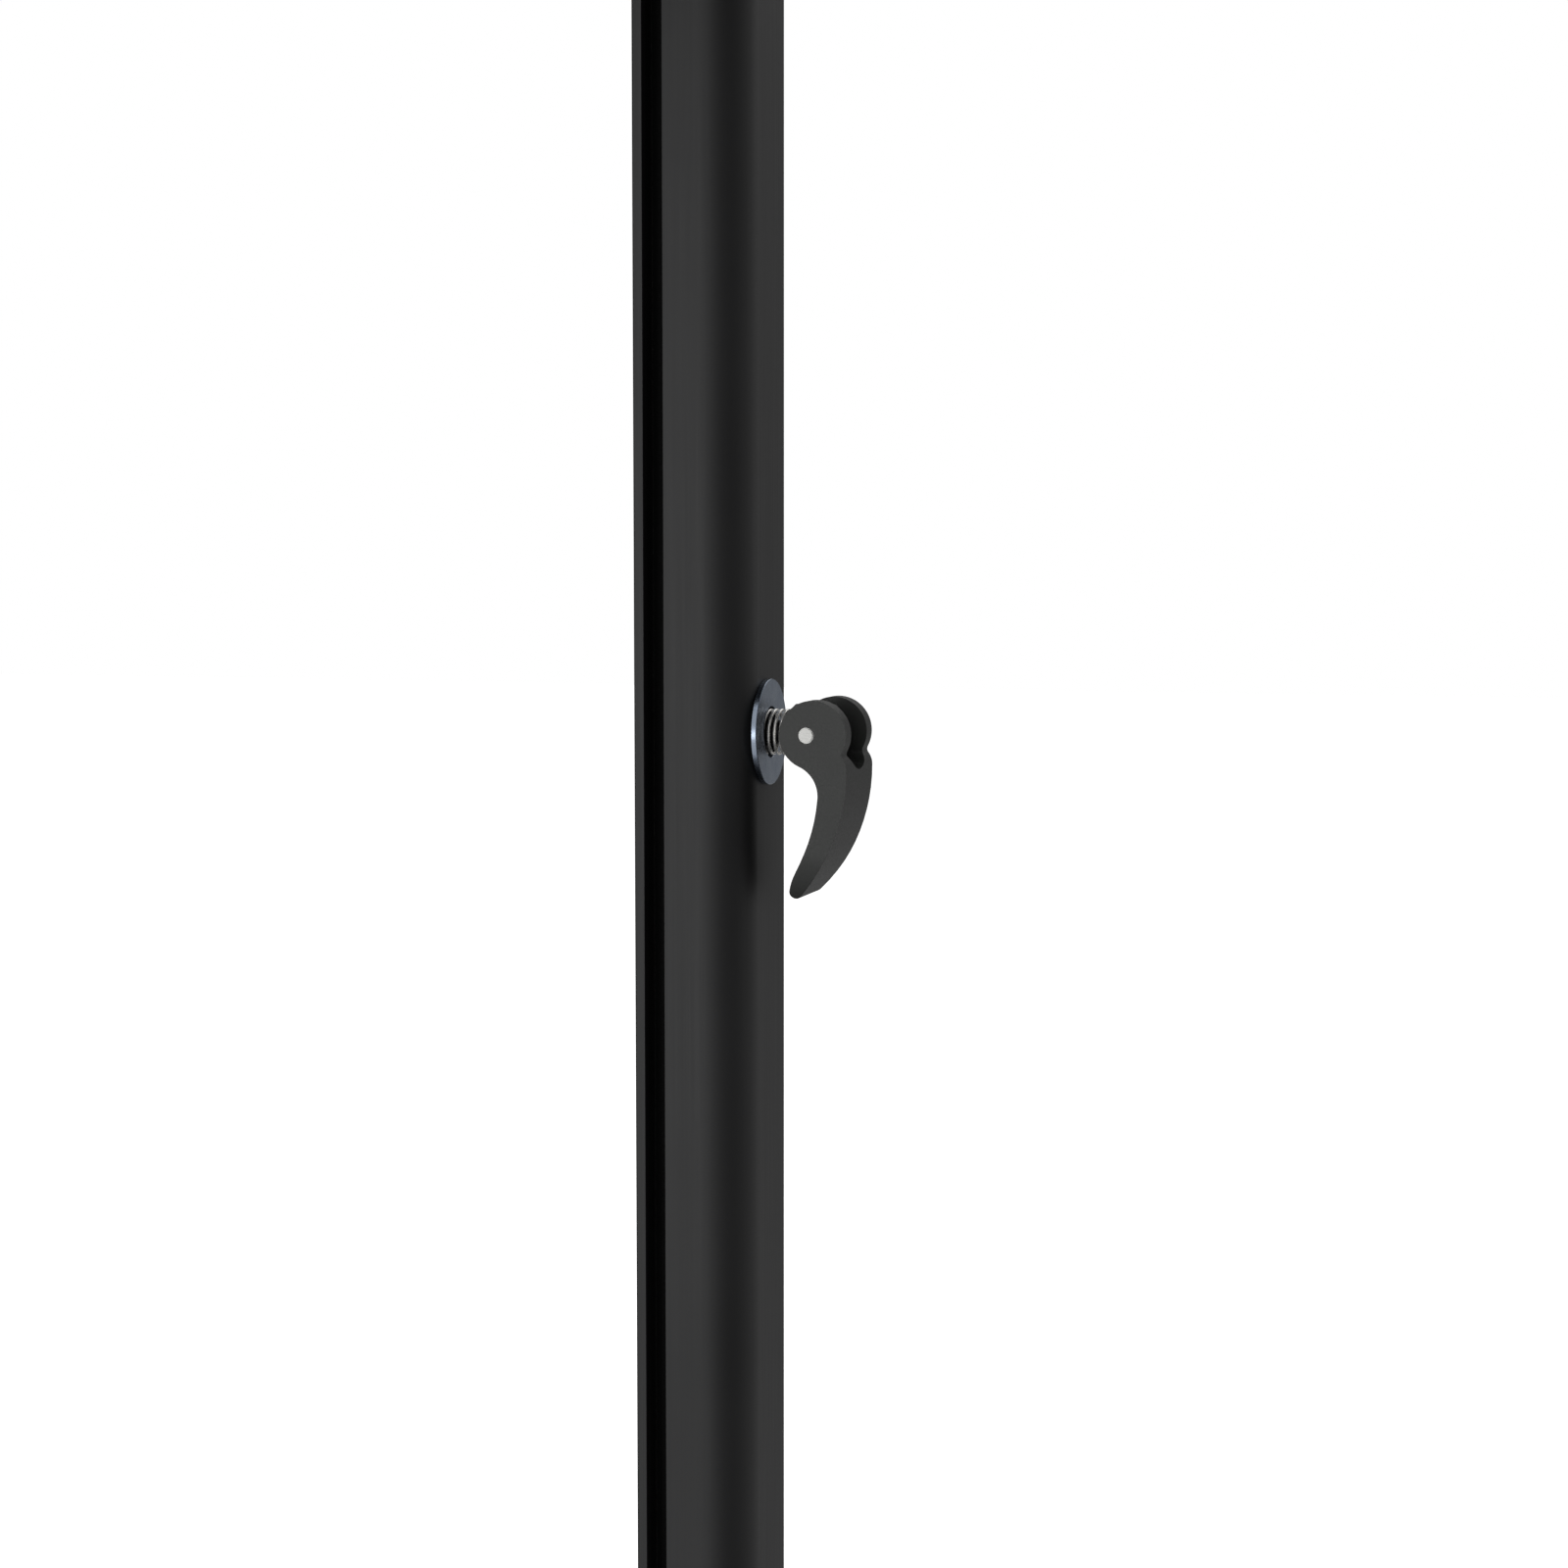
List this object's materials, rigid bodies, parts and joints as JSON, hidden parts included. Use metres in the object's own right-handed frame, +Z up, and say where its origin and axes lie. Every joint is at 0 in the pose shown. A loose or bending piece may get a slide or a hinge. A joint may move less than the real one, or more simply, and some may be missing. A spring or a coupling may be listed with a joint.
{
  "type": "music stand",
  "caption": "Height adjustable music stand: a sliding blade in a slotted D-section mast locked by a sprung cam lever, a tilting sheet desk and a three-legged base.",
  "frame": {"origin": "on the floor, in the middle of the stand's footprint box", "axes": "+Z up the mast, -Y towards the musician, +X towards the cam lever"},
  "size_m": [0.5, 0.416, 0.9594],
  "materials": {
    "black_cast": "satin black powder coat on cast iron",
    "black_leg": "satin black powder coat on steel",
    "black_screws": "black oxide",
    "foot_rubber": "matte moulded rubber",
    "mast_anodised": "satin black anodised extrusion",
    "glide_nylon": "matte nylon strip",
    "cap_plastic": "moulded plastic",
    "zinc_steel": "bright bluish zinc plate",
    "spring_steel": "bright spring wire",
    "stud_black": "black oxide",
    "lever_black": "satin black die casting",
    "pin_steel": "brushed",
    "blade_black": "black anodised bar",
    "shoe_nylon": "natural nylon",
    "desk_sheet": "fine textured black powder coat",
    "bracket_black": "satin black powder coat",
    "rivet_black": "black painted rivet",
    "knob_plastic": "moulded plastic",
    "brass": "turned"
  },
  "bodies": {
    "stand": {"base_hub": "black_cast", "leg_front_left": "black_leg", "leg_front_right": "black_leg", "leg_rear": "black_leg", "leg_bolts": "black_screws", "leg_nuts": "black_screws", "foot_front_left": "foot_rubber", "foot_front_right": "foot_rubber", "foot_rear": "foot_rubber", "hub_set_screws": "black_screws", "outer_mast": "mast_anodised", "glide_strip_left": "glide_nylon", "glide_strip_right": "glide_nylon", "mast_top_cap": "cap_plastic", "cam_washer": "zinc_steel", "nut_washer": "zinc_steel", "stud_nut": "zinc_steel"},
    "spring": {"clamp_spring": "spring_steel"},
    "stud": {"clamp_stud": "stud_black"},
    "lever": {"cam_lever": "lever_black", "lever_pin": "pin_steel"},
    "blade": {"inner_blade": "blade_black", "blade_shoe": "shoe_nylon", "friction_washer_left": "glide_nylon", "friction_washer_right": "glide_nylon"},
    "desk": {"desk_panel": "desk_sheet", "desk_shelf": "desk_sheet", "desk_bracket": "bracket_black", "shelf_rivets": "rivet_black", "bracket_rivets": "rivet_black", "tilt_bolt": "black_screws", "knob_washer": "zinc_steel"},
    "knob": {"tilt_knob": "knob_plastic", "knob_insert": "brass"}
  },
  "joints": [
    {"name": "height_slide", "type": "slide", "parent": "stand", "child": "blade", "axis": [0, 0, 1], "range_m": [0, 0.36]},
    {"name": "desk_tilt", "type": "hinge", "parent": "blade", "child": "desk", "pos_m": [-0.0092, -0.065, 0.745], "axis": [-1, 0, 0], "range_deg": [-15, 60]},
    {"name": "knob_turn", "type": "hinge", "parent": "desk", "child": "knob", "pos_m": [-0.0092, -0.065, 0.745], "axis": [1, 0, 0], "range_deg": [0, 360]},
    {"name": "clamp_travel", "type": "slide", "parent": "stand", "child": "spring", "axis": [-1, 0, 0], "range_m": [0, 0.00176], "deforming": ["clamp_spring"]},
    {"name": "stud_turn", "type": "hinge", "parent": "spring", "child": "stud", "pos_m": [0.0145, -0.065, 0.43], "axis": [-1, 0, 0], "range_deg": [0, 630]},
    {"name": "lever_flip", "type": "hinge", "parent": "stud", "child": "lever", "pos_m": [0.02855, -0.065, 0.43], "axis": [0, -1, 0], "range_deg": [0, 165]}
  ],
  "couplings": [
    {"joint": "clamp_travel", "follows": "stud_turn", "m_per_rad": 0.00015915}
  ]
}
